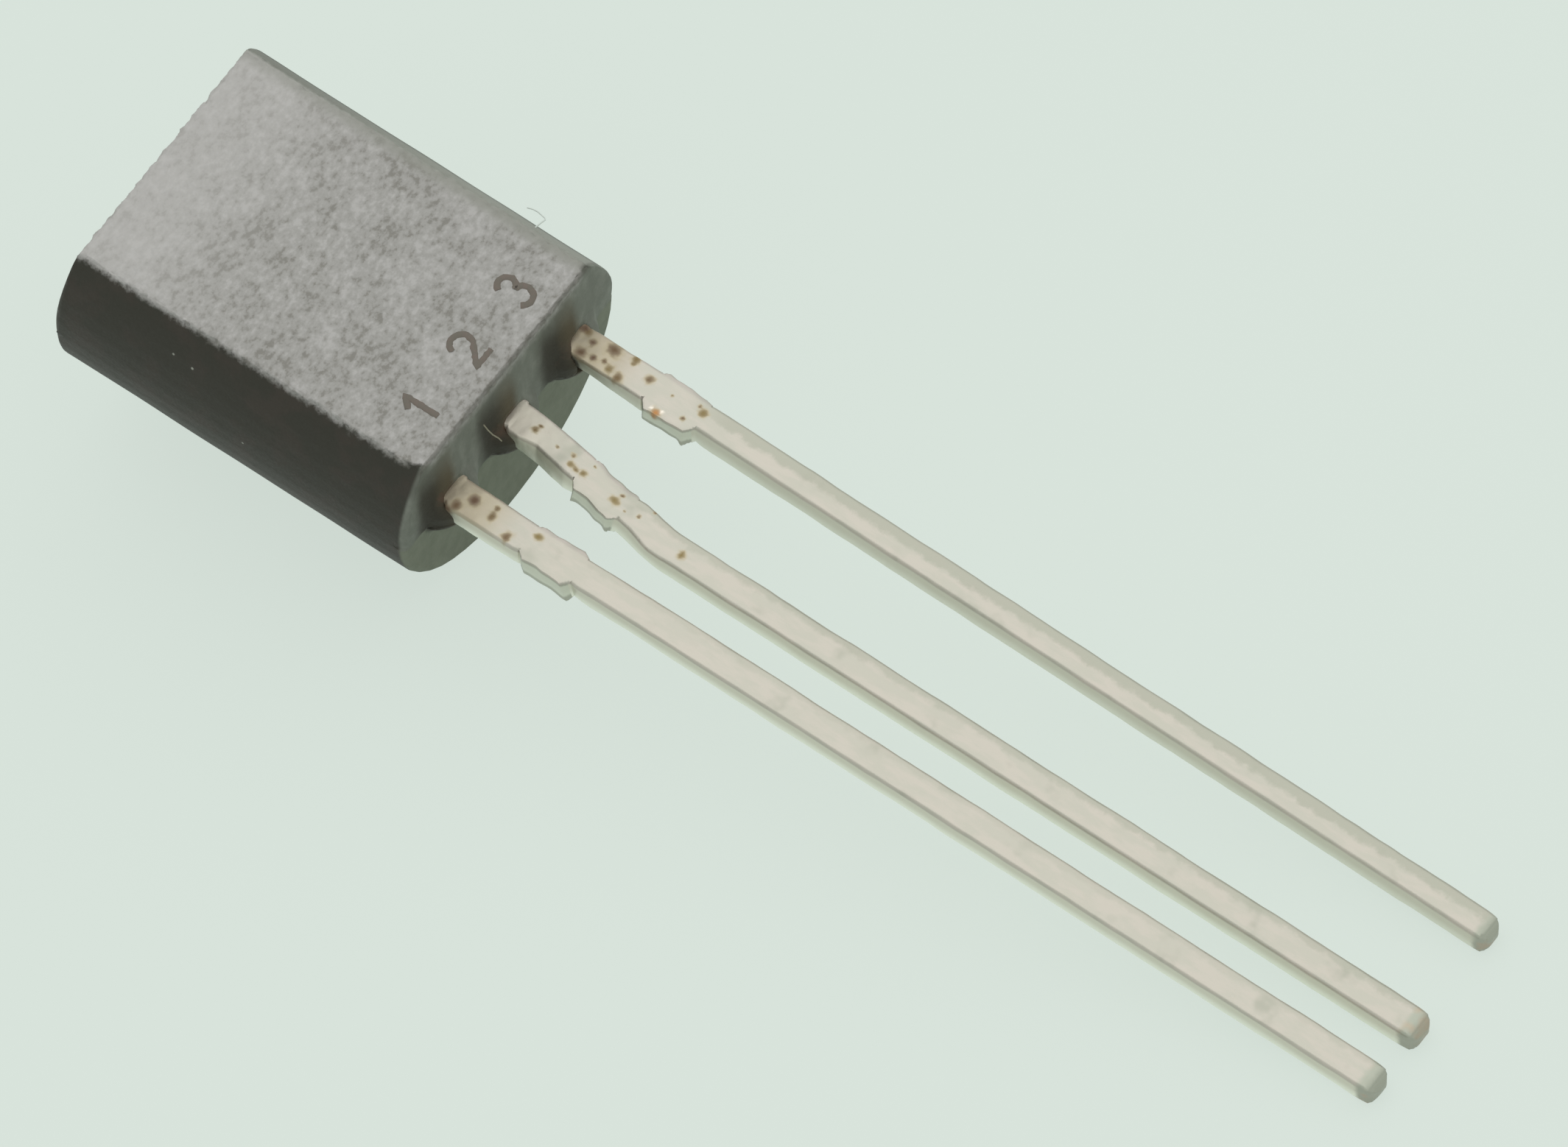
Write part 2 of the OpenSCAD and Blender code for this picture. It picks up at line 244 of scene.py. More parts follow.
def flatGrainAndSheen(x, mottle):
    # pale dry crumbs, a little drawn out across the leads, their paleness partly a painted sheen of the
    # lamp; lighter far from the leads, a painted sheen gradient
    flat = blend(rise(mottle, resin["toMid"]), resin["flatDark"], resin["flatMid"])
    flat = blend(rise(mottle, resin["toLight"]), flat, resin["flatLight"])
    paler = times(rise(x, resin["farPart"]), resin["farShare"])
    return blend(paler, flat, resin["flatFarSheen"])


def sideTone(coords, patches):
    # dark, a little warmer in patches, with a few pale grains of filler
    warm = rise(patches, resin["warmPatch"])
    side = blend(warm, resin["side"], resin["sideWarm"])
    cells = joined("TexVoronoi", {"Vector": coords, "Scale": resin["speckCells"]})
    chance = joined("SeparateColor", {0: cells.outputs["Color"]}).outputs[0]
    reach = times(minus(chance, resin["speckRarity"]), resin["speckReach"])
    speck = rise(minus(reach, cells.outputs["Distance"]), resin["speckEdge"])
    return blend(speck, side, resin["speck"])


def endTone(coords, z, patches):
    # a cloudy grey with pale runs above the mould line, a greener one below it
    runs = grain(stretched(coords, resin["runStretch"]), *resin["runs"])
    upper = blend(rise(runs, resin["paleRun"]), resin["endUpper"], resin["endPale"])
    lower = blend(rise(runs, resin["paleRunLower"]), resin["endLower"], resin["endLowerPale"])
    clouds = plus(z, swing(patches, resin["lineWander"]))
    return blend(rise(clouds, resin["lineBand"], package["mouldLine"]), lower, upper)


def domeShadeTone(coords, y, z, byLead):
    # painted shade of the domes: dark, browner on top, with a reddish stain close to each lead
    dome = blend(rise(byLead, resin["domeTop"]), resin["dome"], resin["domeTopShade"])
    stain = minus(grain(coords, *resin["stains"]), rootDistance(y, z, 0.0))
    stain = allOf((stain, resin["stainEdge"]), (z, resin["stainFoot"]))
    return blend(stain, dome, resin["domeStain"])


def paintedDomeShade(x, y, z, byLead):
    # painted shade on the flanks of the domes away from the light, up to the flat, and on most of their
    # lower halves
    flank = allOf((byLead, resin["flankStart"]), (byLead, resin["flankEnd"]),
                  (y, resin["flankSide"]), (z, resin["flankTop"]))
    root = rootDistance(y, z, resin["domeDrop"])
    under = allOf((root, resin["underRound"]), (byLead, resin["underEnd"]),
                  (maths("ABSOLUTE", y), resin["underSide"]), (byLead, resin["underStart"]))
    upper = rise(z, resin["domeBand"], package["mouldLine"])
    shaded = times(blend(upper, under, flank), rise(x, resin["leadEnd"]))
    return times(shaded, resin["domeShare"])


def onEnds(x, y, z):
    # the far end's face stops short of the rounded rim of the back
    half = package["bodyLength"] / 2
    face = rise(maths("ABSOLUTE", plus(x, half)), resin["endFace"], half)
    fromCentre = lengthOf(y, minus(z, package["backCentre"]))
    inside = rise(fromCentre, resin["endRim"], package["backRadius"])
    return times(face, maths("MAXIMUM", inside, rise(x, resin["leadEnd"])))


def onFlatSkin(x, y, z, ragged):
    # the pale skin of the flat, partly a painted sheen, ends in a ragged edge, with worn corners at the
    # lead end
    wear = resin["cornerWear"]
    skin = rise(plus(z, ragged), resin["skinDepth"], package["flatHeight"])
    pastX = maths("MAXIMUM", plus(x, wear), 0.0)
    pastY = minus(maths("ABSOLUTE", y), package["flatHalfWidth"] - wear)
    past = lengthOf(pastX, maths("MAXIMUM", pastY, 0.0))
    return times(skin, rise(plus(past, ragged), resin["cornerBand"], wear))


def onLeadEdge(x, z, ragged):
    # a thin dark line along the flat's edge at the lead end
    away = plus(plus(x, resin["lineAt"]), times(ragged, resin["lineRagged"]))
    line = allOf((maths("ABSOLUTE", away), resin["lineWidth"]),
                 (z, resin["lineTop"], package["flatHeight"]))
    return times(line, resin["lineShare"])


def onSideRim(x, y, z, ragged):
    # a worn rim along the emitter's side of the flat, more so towards the leads
    rimY = plus(y, times(ragged, resin["rimRagged"]))
    rim = allOf((rimY, resin["rimSide"]), (z, resin["rimTop"]), (x, resin["rimEnd"]))
    everywhere, more = resin["rimGain"]
    gain = plus(times(rise(x, resin["rimAlong"]), more), everywhere)
    return times(rim, gain, resin["rimShare"])


def mouldingCompound():
    material, tree, shader = newMaterial("moulding compound")
    coords, x, y, z = leadCoords(tree)
    crumbs = grain(stretched(coords, resin["crumbStretch"]), *resin["crumbs"])
    fines = grain(coords, *resin["fines"])
    patches = grain(coords, *resin["patches"])
    share = resin["crumbShare"]
    mottle = plus(times(crumbs, share), times(fines, 1 - share))
    mottle = plus(mottle, swing(patches, resin["patchShare"]))
    ragged = swing(grain(coords, *resin["ragged"]), resin["raggedDepth"])
    turn = resin["betweenDomes"]
    limits = {0: y, 1: turn, 2: turn - package["leadPitch"]}
    byLead = joined("Math", limits, operation="WRAP").outputs[0]
    byLead = plus(byLead, swing(patches, resin["domeWander"]))

    end = endTone(coords, z, patches)
    # painted shade on the domes
    end = blend(paintedDomeShade(x, y, z, byLead), end, domeShadeTone(coords, y, z, byLead))
    onEnd = onEnds(x, y, z)
    colour = blend(onEnd, sideTone(coords, patches), end)
    # the flat's grain, partly painted sheen
    colour = blend(onFlatSkin(x, y, z, ragged), colour, flatGrainAndSheen(x, mottle))
    colour = blend(onSideRim(x, y, z, ragged), colour, resin["flatRim"])
    colour = blend(onLeadEdge(x, z, ragged), colour, resin["flatLine"])

    everywhere, inFines, onEndFace = resin["roughness"]
    dress(shader, colour, plus(plus(times(fines, inFines), everywhere), times(onEnd, onEndFace)))
    bumped(shader, *resin["bump"], plus(mottle, times(patches, resin["bumpPatches"])))
    shader.inputs["Specular IOR Level"].default_value = resin["specular"]
    return material


# The tin on the leads, with grains and limits given in the same way.
tin = {
    "bright": tone(199, 190, 181), "dull": tone(191, 185, 175), "grey": tone(178, 174, 163),
    # the two whiter side tones are a painted reflection of the pale paper
    "rolled": tone(168, 167, 154), "sideReflectionUpper": tone(222, 218, 203), "sideReflectionLower": tone(250, 250, 238),
    # the lighter tone of the base lead near the body is painted light against the body's shade
    "sideFar": tone(196, 192, 178), "nearBody": tone(186, 171, 149), "nearBasePaintedLight": tone(216, 206, 194),
    "brown": tone(116, 92, 72), "ochre": tone(150, 132, 84), "spotRim": tone(184, 170, 146),
    # the glint tone is a painted highlight
    "bareCopper": tone(206, 146, 84), "glint": tone(246, 234, 224),
    "shearDark": tone(146, 147, 132), "shearPale": tone(214, 216, 202), "cutEnd": tone(176, 176, 164),
    "copper": tone(186, 170, 152),
    "drawn": (6, 4, 0.6), "drawnStretch": (0.3, 1.0, 1.0),
    "cloud": (1.6, 3, 0.6),
    "fine": (26, 3, 0.6),
    "torn": (4.5, 5, 0.68),
    "toBright": (0.38, 0.62),
    "toGrey": (0.56, 0.75),
    "outerLead": (0.8, 1.0), "outerFrom": (1.15, 0.5),
    "baseFrom": (1.0, 0.2),
    "rootShare": 0.8,
    "flankTop": (0.165, 0.12), "flankFoot": (0.06, -0.16), "flankTip": (-0.05, -0.15),
    "sideFarShare": 0.35,
    "onTop": (0.06, 0.13),
    "rolledTorn": 1.1,
    "rolledWider": 0.27,  # on the emitter lead
    "rolledLead": (0.3, 1.1), "rolledAcross": (0.27, 0.63), "rolledFrom": (1.6, 2.4),
    "rolledFade": (-2.6, 0.6), "rolledShare": 0.68,
    "lipMiddle": 0.02, "lip": (0.08, 0.15),
    "shearAcross": (1.06, 1.14), "shearTop": (0.18, 0.14), "shearShare": 0.7,
    "stainTorn": 0.6, "stainFoot": (0.14, -0.04), "stainDrop": 1.3,
    "toCopper": (1.2, 1.8),  # past ochre
    "stainRim": (-0.8, 0.3), "stainCore": (-0.3, 0.9), "stainDull": (-0.2, 0.6),
    "glintCore": (0.0, 0.8),
    "cutTorn": 0.12, "cutFrom": (-0.3, -0.2), "cutPatch": (0.5, 0.62),
    "farEdge": (0.78, 0.95),
    "metallic": 0.8,
    "duller": (0.7, 0.5),  # in a stain, at the far edge
    "roughness": (0.34, 0.2, 0.3),  # everywhere, in the drawn streaks, in a stain
    "bumpShares": (0.8, 0.25),  # of the drawn streaks and of the fine grain
    "bump": (0.35, 0.012),
}


def attribute(tree, name):
    return addNode(tree, "Attribute", attribute_name=name).outputs["Fac"]


def drawnTin(x, y, drawn, cloud):
    # the outer leads are yellower close to the body; the base lead is painted lighter there, painted
    # light against the shade of the body
    colour = blend(rise(drawn, tin["toBright"]), tin["dull"], tin["bright"])
    colour = blend(rise(cloud, tin["toGrey"]), colour, tin["grey"])
    aside = maths("ABSOLUTE", y)
    outer = allOf((aside, tin["outerLead"]), (x, tin["outerFrom"]))
    colour = blend(times(outer, tin["rootShare"]), colour, tin["nearBody"])
    inner = allOf((aside, tin["outerLead"][::-1]), (x, tin["baseFrom"]))
    return blend(times(inner, tin["rootShare"]), colour, tin["nearBasePaintedLight"])


def withPaintedSideReflection(x, y, z, colour):
    # the sides are painted whiter, a painted reflection of the pale paper, most so at the bottom; they
    # are darker on the emitter lead
    flank = blend(rise(z, tin["flankFoot"]), tin["sideReflectionUpper"], tin["sideReflectionLower"])
    darker = times(rise(y, tin["outerLead"]), tin["sideFarShare"])
    flank = blend(darker, flank, tin["sideFar"])
    upTo = (x, tin["flankTip"], package["leadReach"])
    return blend(allOf((z, tin["flankTop"]), upTo), colour, flank)


def withRolledEdge(tree, x, y, z, torn, colour):
    # the stamped edge on the emitter's side of each lead is rolled over, and darker along it
    rolled = plus(attribute(tree, "across"), times(torn, tin["rolledTorn"]))
    wider = times(rise(y, tin["rolledLead"]), tin["rolledWider"])
    rolled = allOf((plus(rolled, wider), tin["rolledAcross"]), (z, tin["onTop"]),
                   (x, tin["rolledFrom"]))
    rolled = times(rolled, times(rise(y, tin["rolledFade"]), tin["rolledShare"]))
    return blend(rolled, colour, tin["rolled"])


def withShearedFaces(tree, z, colour):
    # sheared faces of the stubs: a pale band between dark lips
    fromBand = maths("ABSOLUTE", minus(z, tin["lipMiddle"]))
    band = blend(rise(fromBand, tin["lip"]), tin["shearPale"], tin["shearDark"])
    aside = maths("ABSOLUTE", attribute(tree, "across"))
    sheared = allOf((aside, tin["shearAcross"]), (z, tin["shearTop"]))
    return blend(times(sheared, tin["shearShare"]), colour, band)


def withStains(tree, z, torn, colour):
    # brown and ochre stains and one of bare copper, all on top; with how much each spot is stained
    stain = plus(attribute(tree, "stain"), times(torn, tin["stainTorn"]))
    stain = minus(stain, times(rise(z, tin["stainFoot"]), tin["stainDrop"]))
    ochre = attribute(tree, "ochre")
    hue = blend(ochre, tin["brown"], tin["ochre"])
    hue = blend(rise(ochre, tin["toCopper"]), hue, tin["bareCopper"])
    colour = blend(rise(stain, tin["stainRim"]), colour, tin["spotRim"])
    colour = blend(rise(stain, tin["stainCore"]), colour, hue)
    return colour, rise(stain, tin["stainDull"])


def tinnedLead():
    material, tree, shader = newMaterial("tinned lead")
    coords, x, y, z = leadCoords(tree)
    drawn = grain(stretched(coords, tin["drawnStretch"]), *tin["drawn"])
    cloud = grain(coords, *tin["cloud"])
    fine = grain(coords, *tin["fine"])
    torn = minus(grain(coords, *tin["torn"]), 0.5)

    colour = drawnTin(x, y, drawn, cloud)
    colour = withPaintedSideReflection(x, y, z, colour)
    colour = withRolledEdge(tree, x, y, z, torn, colour)
    colour = withShearedFaces(tree, z, colour)
    colour, stained = withStains(tree, z, torn, colour)
    # painted highlights beside the copper spot
    colour = blend(rise(attribute(tree, "glint"), tin["glintCore"]), colour, tin["glint"])
    cutAt = plus(times(torn, tin["cutTorn"]), x)
    cut = rise(cutAt, tin["cutFrom"], package["leadReach"])
    cutTone = blend(rise(cloud, tin["cutPatch"]), tin["cutEnd"], tin["copper"])
    colour = blend(cut, colour, cutTone)

    inStain, atEdge = tin["duller"]
    farEdge = rise(attribute(tree, "across"), tin["farEdge"])
    duller = maths("MAXIMUM", times(stained, inStain), times(farEdge, atEdge))
    everywhere, inStreaks, inStain = tin["roughness"]
    rough = plus(plus(times(drawn, inStreaks), everywhere), times(stained, inStain))
    dress(shader, colour, rough, minus(tin["metallic"], duller))
    ofDrawn, ofFine = tin["bumpShares"]
    bumped(shader, *tin["bump"], plus(times(drawn, ofDrawn), times(fine, ofFine)))
    return material


# What the moulding holds: two tones, the scale of the grain between them, roughness and metallic.
hidden = {
    "silicon": (tone(70, 74, 88), tone(96, 100, 116), 3, 0.15, 0.3),
    "chip_solder": (tone(150, 150, 154), tone(178, 178, 182), 12, 0.4, 0.9),
    "bond_wire": (tone(232, 188, 92), tone(246, 208, 122), 20, 0.2, 1.0),
}
cloudedRoughness = 0.15


def hiddenFinish(slot):
    first, second, scale, roughness, metallic = hidden[slot]
    material, tree, shader = newMaterial(slot.replace("_", " "))
    cloud = grain(leadCoords(tree)[0], scale, 3)
    roughness = plus(times(cloud, cloudedRoughness), roughness)
    dress(shader, blend(cloud, first, second), roughness, metallic)
    return material


finishes = {"moulding_compound": mouldingCompound(), "tinned_lead": tinnedLead()}
for slot in hidden:
    finishes[slot] = hiddenFinish(slot)
for part in frame["record"]["subparts"]:
    mesh = frame["nodes"][part["node"]].data
    mesh.materials.clear()
    mesh.materials.append(finishes[part["material_slot"]])
print("finishes made:", len(finishes))


def copyOf(nodeName):
    # the CAD piece, in the frame of the leads, with its loose triangles joined up
    mesh = bmesh.new()
    mesh.from_mesh(frame["nodes"][nodeName].data)
    mesh.transform(leadFrame.inverted())
    bmesh.ops.remove_doubles(mesh, verts=mesh.verts, dist=1e-4)
    bmesh.ops.dissolve_limit(mesh, angle_limit=math.radians(0.3), verts=mesh.verts, edges=mesh.edges)
    return mesh


def crosses(face, axis, place):
    low = min(v.co[axis] for v in face.verts)
    return low < place - 1e-4 and max(v.co[axis] for v in face.verts) > place + 1e-4


def cutAt(mesh, parts, axis, place):
    # one cut through the given parts, square to an axis
    normal = Vector([float(i == axis) for i in range(3)])
    bmesh.ops.bisect_plane(mesh, geom=parts, dist=1e-5, plane_co=normal * place, plane_no=normal)


def cutAcross(mesh, axis, places, wanted):
    # a row of cuts through the wanted faces
    for place in places:
        faces = [f for f in mesh.faces if wanted(f) and crosses(f, axis, place)]
        edges = {e for f in faces for e in f.edges}
        verts = {v for f in faces for v in f.verts}
        cutAt(mesh, [*verts, *edges, *faces], axis, place)


def steps(start, end, spacing):
    count = max(1, round((end - start) / spacing))
    return [start + (end - start) * (i + 0.5) / count for i in range(count)]


def limited(value):
    return min(1.0, max(0.0, value))


def ramp(value, start, width):
    return limited((value - start) / width)


def eased(share):
    # a share from 0 to 1 that starts and ends slowly
    return share * share * (3 - 2 * share)


def uneven(point, settings):
    # noise at a point: its depth, its size, and for a fractal its falling off, its step and its count
    depth, size, *shape = settings
    return depth * (noise.fractal(point / size, *shape) if shape else noise.noise(point / size))


def finished(mesh, name, slot, sharpAngle=48, material=None):
    # takes a worked mesh back to its place and makes it a piece of the object
    mesh.transform(leadFrame)
    data = bpy.data.meshes.new(name)
    mesh.to_mesh(data)
    mesh.free()
    data.shade_smooth()
    data.set_sharp_from_angle(angle=math.radians(sharpAngle))
    data.materials.append(material or finishes[slot])
    piece = bpy.data.objects.new(name, data)
    scene.collection.objects.link(piece)
    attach(piece, "root")
    return piece


# The moulded body has worn edges round the flat, and a skin that isn't quite even.
case = {
    "cell": 0.13,
    "edgeCell": 0.04,
    "rootCell": 0.04, "rootBand": 0.42, "rootCut": 0.4, "rootRows": (-0.1, 0.45),
    "skin": 0.1,  # a face that is nearer the outside than this isn't a wall of the hollow
    "channel": (0.245, 0.21),  # half the width and height of the hollow round a lead
    "edgeWidth": 0.07, "edgeDrop": 0.03, "edgeWear": 0.006,
    "fray": (0.022, 0.09, 0.7, 2.1, 4),
    "nick": (0.06, 0.16, 0.25, (7, 3, 1)),  # depth, size, rarity, and where its noise starts
    "swell": (0.006, 0.9),
    "lineBand": 0.005,
    "ridge": 0.09, "ridgeWidth": 0.3, "ridgeFoot": 0.1, "ridgeSides": 1.9,
    "endFoot": 0.1,  # how far out the lead end stands at the mould line, and how fast it slopes back
    "endDraft": 0.05,
    "domeFrom": 0.045, "domeSides": 1.85, "domeBall": 0.5506, "domeApex": 0.37, "domeRim": 0.56,
    "domeRound": 0.5, "domeBlend": 0.1, "domeFlatness": 0.1,
    "domeSlope": (0.22, 0.27),  # where the slope to the lower half starts, and its height
    "rim": 0.12,
    "reach": 0.05,
    "rimDraft": 0.07, "rimStart": -0.3,
    "rimSide": (1.5, 0.35),  # where it starts beside the middle, and over what width
    "rimSlope": (0.45, 0.65),
    "farSharpness": 0.7, "farSide": (1.2, 0.5),
    "lipFrom": 0.15, "lipLift": 0.16,
    "flash": [  # y and z of a corner of a lead, its width, how far the compound runs out there
        (1.04, 0.2, 0.12, 0.12), (1.5, 0.2, 0.06, 0.02), (-0.23, 0.2, 0.07, 0.03),
        (0.23, 0.2, 0.07, 0.03), (-1.5, 0.2, 0.07, 0.04), (-1.04, 0.2, 0.07, 0.03)],
}


def besideLead(point):
    # how far a point lies to the side of the nearest lead
    return point.y - round(point.y / package["leadPitch"]) * package["leadPitch"]


def fromBack(point):
    # how far a point lies from the axis that the round back turns about
    return math.hypot(point.y, point.z - package["backCentre"])


def insideCase(face):
    # the walls of the hollow that the leads, the chip and the wires fill
    centre, skin = face.calc_center_median(), case["skin"]
    if centre.x > -skin:
        halfWidth, halfHeight = case["channel"]
        channel = abs(face.normal.x) < 0.05 and abs(centre.z) < halfHeight
        return channel and all(abs(besideLead(v.co)) < halfWidth for v in face.verts)
    deep = fromBack(centre) < package["backRadius"] - skin
    return deep and centre.z < package["flatHeight"] - skin and centre.x > skin - package["bodyLength"]


def edgeCloseness(point):
    # 1 on the rounded edges of the flat, 0 away from them
    half = package["bodyLength"] / 2
    sideGap = package["flatHalfWidth"] - abs(point.y)
    endGap = half - abs(point.x + half)
    inward = max(0.0, min(sideGap, endGap)) / case["edgeWidth"]
    down = max(0.0, package["flatHeight"] - case["edgeDrop"] - point.z) / case["edgeWidth"]
    return math.exp(-inward * inward - down * down)


def flashAt(point):
    # how far the compound runs out along the corners of the leads
    out = 0.0
    for y, z, width, reach in case["flash"]:
        out = max(out, reach * math.exp(-((point.y - y) ** 2 + (point.z - z) ** 2) / width ** 2))
    return out


def ridgeAt(point):
    # a low ridge that runs from the top of each dome up to the flat
    foot = case["ridgeFoot"]
    up = (point.z - foot) / (package["flatHeight"] - foot)
    if abs(point.y) > case["ridgeSides"] or up < 0.1:
        return 0.0
    height = case["ridge"] * math.exp(-(besideLead(point) / case["ridgeWidth"]) ** 2)
    return height * min(1.0, 5 * up - 0.5) * (1 - min(1.0, up))


def domeShape(point):
    # the upper half of each dome is nearly flush, and slopes out to meet the lower half below it
    above = point.z - package["mouldLine"]
    if above < -case["lineBand"] or point.x < case["domeFrom"] or abs(point.y) > case["domeSides"]:
        return 0.0
    sideways = besideLead(point)
    ball, apex, drop = case["domeBall"], case["domeApex"], resin["domeDrop"]
    fromAxis = math.hypot(sideways, drop)
    near = limited((case["domeRim"] - math.hypot(sideways, point.z + drop)) / case["domeBlend"])
    if near == 0:
        return 0.0
    end = case["endFoot"] - case["endDraft"] * above
    flatter = point.x - max(0.0, point.x - end) * (1 - case["domeFlatness"]) * near
    if fromAxis > case["domeRound"]:
        return flatter - point.x
    lower = apex - ball + math.sqrt(ball * ball - fromAxis * fromAxis)
    top, height = case["domeSlope"]
    return flatter + max(0.0, lower - flatter) * eased(limited((top - point.z) / height)) - point.x


def rimShift(point):
    # at the lead end, both ends of the mould line run over to the rounded rim of the back half
    start, rim = case["rimStart"], case["rim"]
    above = point.z - package["mouldLine"]
    side, sideWidth = case["rimSide"]
    if point.x < start or above < -case["lineBand"] or abs(point.y) < side:
        return 0.0
    top, height = case["rimSlope"]
    share = eased(limited((top - point.z) / height)) * ramp(abs(point.y), side, sideWidth)
    end = case["endFoot"] - case["rimDraft"] * above
    past = max(0.0, fromBack(point) - package["backRadius"] + rim)
    rounded = case["reach"] - rim + math.sqrt(max(0.0, rim ** 2 - past ** 2))
    shift = (rounded - end) * share * min(1.0, (point.x - start) / (end - start))
    if above < case["lineBand"]:
        shift = max(shift, min(0.0, rounded - point.x))
    return min(0.0, shift)


def farRim(point):
    # the far rim of the back half is sharper near the mould line
    inward = point.x + package["bodyLength"] + case["reach"]
    radius = fromBack(point)
    below = package["backRadius"] - radius
    atRim = 0 <= inward < case["rim"] and 0 <= below < case["rim"]
    if not atRim or point.z > package["mouldLine"] + case["lineBand"]:
        return Vector()
    share = case["farSharpness"] * ramp(abs(point.y), *case["farSide"])
    out = below * share / radius
    return Vector((-inward * share, point.y * out, (point.z - package["backCentre"]) * out))


def cutBody(mesh, hollow):
    # small faces where the shape is worked, and larger ones elsewhere
    rear, front = -package["bodyLength"] - 0.2, 0.4
    radius = package["backRadius"]
    rows = [(0, rear, front), (1, -radius, radius)]
    outer = lambda f: not f[hollow]
    for axis, start, end in (*rows, (2, package["backCentre"] - radius, package["flatHeight"])):
        cutAcross(mesh, axis, steps(start, end, case["cell"]), outer)

    def nearRoot(face):
        centre = face.calc_center_median()
        close = centre.x > -0.02 and math.hypot(besideLead(centre), centre.z) < case["rootBand"]
        return close and outer(face)

    for lead in (-1, 0, 1):
        middle, reach = lead * package["leadPitch"], case["rootCut"]
        cutAcross(mesh, 1, steps(middle - reach, middle + reach, case["rootCell"]), nearRoot)
    cutAcross(mesh, 2, steps(*case["rootRows"], case["rootCell"]), nearRoot)
    nearEdge = lambda f: outer(f) and edgeCloseness(f.calc_center_median()) > 0.02
    for axis, start, end in rows:
        cutAcross(mesh, axis, steps(start, end, case["edgeCell"]), nearEdge)


def bodyMove(vert, hollow):
    spot = vert.co
    walls = [f[hollow] for f in vert.link_faces]
    run = 0.0
    if spot.x > 0.02 and not all(walls):
        run = flashAt(spot) + ridgeAt(spot) + domeShape(spot)
    if any(walls):
        return Vector((run, 0, run * case["lipLift"] if spot.z > case["lipFrom"] else 0))
    depth, size, rarity, start = case["nick"]
    nick = max(0.0, noise.noise(spot / size + Vector(start)) - rarity) * depth
    edge = uneven(spot, case["fray"]) - nick - case["edgeWear"]
    skin = uneven(spot, case["swell"]) + edgeCloseness(spot) * edge
    return vert.normal * skin + Vector((run + rimShift(spot), 0, 0)) + farRim(spot)


def mouldedBody():
    mesh = copyOf("moulded_body")
    hollow = mesh.faces.layers.int.new("hollow")
    for face in mesh.faces:
        face[hollow] = insideCase(face)
    cutBody(mesh, hollow)
    mesh.normal_update()
    moves = [(vert, bodyMove(vert, hollow)) for vert in mesh.verts]
    for vert, move in moves:
        vert.co += move
    bmesh.ops.remove_doubles(mesh, verts=mesh.verts, dist=0.002)
    print("moulded body:", len(mesh.faces), "faces")
    piece = finished(mesh, "moulded_case", "moulding_compound")
    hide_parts("moulded_body")


mouldedBody()


